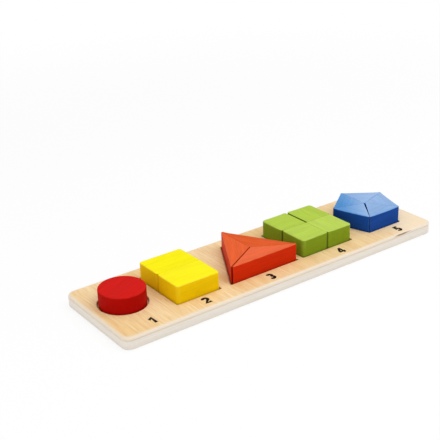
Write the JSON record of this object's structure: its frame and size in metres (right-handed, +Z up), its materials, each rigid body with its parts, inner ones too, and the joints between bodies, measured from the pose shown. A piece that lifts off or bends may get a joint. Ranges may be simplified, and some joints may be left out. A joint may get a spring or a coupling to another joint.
{
  "type": "fraction board",
  "caption": "Long wooden board with a row of recesses that hold a whole disc and an oblong, triangle, square and pentagon cut into equal loose blocks.",
  "frame": {"origin": "middle of the board's underside, which lies on the table", "axes": "+X along the row from the disc to the pentagon, +Y from the numerals' edge to the back edge, +Z up, the way the blocks lift out"},
  "size_m": [0.3498, 0.1, 0.0273],
  "materials": {
    "base_wood": "clear satin lacquer on pale wood",
    "top_wood": "clear satin lacquer on pale wood",
    "red_paint": "satin paint on wood",
    "yellow_paint": "satin paint on wood",
    "orange_paint": "satin paint on wood",
    "green_paint": "satin paint on wood",
    "blue_paint": "satin paint on wood"
  },
  "bodies": {
    "board": {"base_sheet": "base_wood", "top_sheet": "top_wood"},
    "disc": {"disc": "red_paint"},
    "oblong_front_half": {"oblong_front_half": "yellow_paint"},
    "oblong_back_half": {"oblong_back_half": "yellow_paint"},
    "triangle_front_third": {"triangle_front_third": "orange_paint"},
    "triangle_right_third": {"triangle_right_third": "orange_paint"},
    "triangle_left_third": {"triangle_left_third": "orange_paint"},
    "square_front_left_quarter": {"square_front_left_quarter": "green_paint"},
    "square_front_right_quarter": {"square_front_right_quarter": "green_paint"},
    "square_back_left_quarter": {"square_back_left_quarter": "green_paint"},
    "square_back_right_quarter": {"square_back_right_quarter": "green_paint"},
    "pentagon_front_fifth": {"pentagon_front_fifth": "blue_paint"},
    "pentagon_front_right_fifth": {"pentagon_front_right_fifth": "blue_paint"},
    "pentagon_back_right_fifth": {"pentagon_back_right_fifth": "blue_paint"},
    "pentagon_back_left_fifth": {"pentagon_back_left_fifth": "blue_paint"},
    "pentagon_front_left_fifth": {"pentagon_front_left_fifth": "blue_paint"}
  },
  "joints": [
    {"name": "disc_lift", "type": "slide", "parent": "board", "child": "disc", "axis": [0, 0, 1], "range_m": [0, 0.03]},
    {"name": "oblong_front_half_lift", "type": "slide", "parent": "board", "child": "oblong_front_half", "axis": [0, 0, 1], "range_m": [0, 0.03]},
    {"name": "oblong_back_half_lift", "type": "slide", "parent": "board", "child": "oblong_back_half", "axis": [0, 0, 1], "range_m": [0, 0.03]},
    {"name": "triangle_front_third_lift", "type": "slide", "parent": "board", "child": "triangle_front_third", "axis": [0, 0, 1], "range_m": [0, 0.03]},
    {"name": "triangle_right_third_lift", "type": "slide", "parent": "board", "child": "triangle_right_third", "axis": [0, 0, 1], "range_m": [0, 0.03]},
    {"name": "triangle_left_third_lift", "type": "slide", "parent": "board", "child": "triangle_left_third", "axis": [0, 0, 1], "range_m": [0, 0.03]},
    {"name": "square_front_left_quarter_lift", "type": "slide", "parent": "board", "child": "square_front_left_quarter", "axis": [0, 0, 1], "range_m": [0, 0.03]},
    {"name": "square_front_right_quarter_lift", "type": "slide", "parent": "board", "child": "square_front_right_quarter", "axis": [0, 0, 1], "range_m": [0, 0.03]},
    {"name": "square_back_left_quarter_lift", "type": "slide", "parent": "board", "child": "square_back_left_quarter", "axis": [0, 0, 1], "range_m": [0, 0.03]},
    {"name": "square_back_right_quarter_lift", "type": "slide", "parent": "board", "child": "square_back_right_quarter", "axis": [0, 0, 1], "range_m": [0, 0.03]},
    {"name": "pentagon_front_fifth_lift", "type": "slide", "parent": "board", "child": "pentagon_front_fifth", "axis": [0, 0, 1], "range_m": [0, 0.03]},
    {"name": "pentagon_front_right_fifth_lift", "type": "slide", "parent": "board", "child": "pentagon_front_right_fifth", "axis": [0, 0, 1], "range_m": [0, 0.03]},
    {"name": "pentagon_back_right_fifth_lift", "type": "slide", "parent": "board", "child": "pentagon_back_right_fifth", "axis": [0, 0, 1], "range_m": [0, 0.03]},
    {"name": "pentagon_back_left_fifth_lift", "type": "slide", "parent": "board", "child": "pentagon_back_left_fifth", "axis": [0, 0, 1], "range_m": [0, 0.03]},
    {"name": "pentagon_front_left_fifth_lift", "type": "slide", "parent": "board", "child": "pentagon_front_left_fifth", "axis": [0, 0, 1], "range_m": [0, 0.03]}
  ]
}
